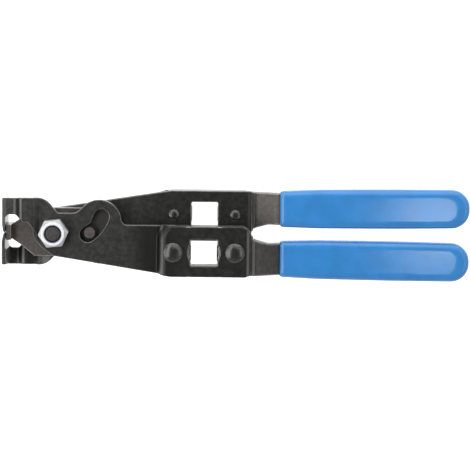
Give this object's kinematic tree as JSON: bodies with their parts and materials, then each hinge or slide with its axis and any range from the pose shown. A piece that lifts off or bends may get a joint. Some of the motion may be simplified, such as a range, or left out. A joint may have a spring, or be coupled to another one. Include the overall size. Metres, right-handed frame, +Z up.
{
  "type": "ear clamp pliers",
  "caption": "Flat pliers that close an ear clamp: cam slots in the stamped arms push a presser foot forward between the jaw lips, with square drive holes and vinyl grips.",
  "frame": {"origin": "under the middle of the closed tool, on the plane that its lowest rivet heads touch", "axes": "+X from the jaws along the handles, +Y across the handles towards the back arm's handle, +Z up through the pivot bolt towards the nut"},
  "size_m": [0.2304, 0.0456, 0.0294],
  "materials": {
    "black_steel": "black oxide, satin",
    "grey_steel": "dark phosphate, satin",
    "zinc_steel": "bright zinc plate",
    "nylon": "satin",
    "blue_vinyl": "dipped vinyl, soft gloss"
  },
  "bodies": {
    "pivot": {"pivot_bolt": "grey_steel", "lock_nut": "zinc_steel", "nylon_insert": "nylon"},
    "front_arm": {"front_jaw_plate": "black_steel", "front_inner_plate": "black_steel", "front_handle_bar": "grey_steel", "front_grip": "blue_vinyl", "front_fore_rivet": "black_steel", "front_rear_rivet": "black_steel"},
    "back_arm": {"back_jaw_plate": "black_steel", "back_inner_plate": "black_steel", "back_handle_bar": "grey_steel", "back_grip": "blue_vinyl", "back_fore_rivet": "black_steel", "back_rear_rivet": "black_steel"},
    "presser": {"plunger": "grey_steel", "presser_foot": "grey_steel", "guide_pin": "grey_steel", "front_guide_bush": "grey_steel", "back_guide_bush": "grey_steel"}
  },
  "joints": [
    {"name": "front_arm_hinge", "type": "hinge", "parent": "pivot", "child": "front_arm", "pos_m": [-0.0898, 0, 0.0147], "axis": [0, 0, -1], "range_deg": [0, 17.3]},
    {"name": "back_arm_hinge", "type": "hinge", "parent": "pivot", "child": "back_arm", "pos_m": [-0.0898, 0, 0.0147], "axis": [0, 0, 1], "range_deg": [0, 17.31]},
    {"name": "presser_slide", "type": "slide", "parent": "pivot", "child": "presser", "axis": [1, 0, 0], "range_m": [0, 0.0065]}
  ],
  "couplings": [
    {"joint": "back_arm_hinge", "follows": "front_arm_hinge", "ratio": 1},
    {"joint": "presser_slide", "follows": "front_arm_hinge", "m_per_rad": 0.0215}
  ]
}
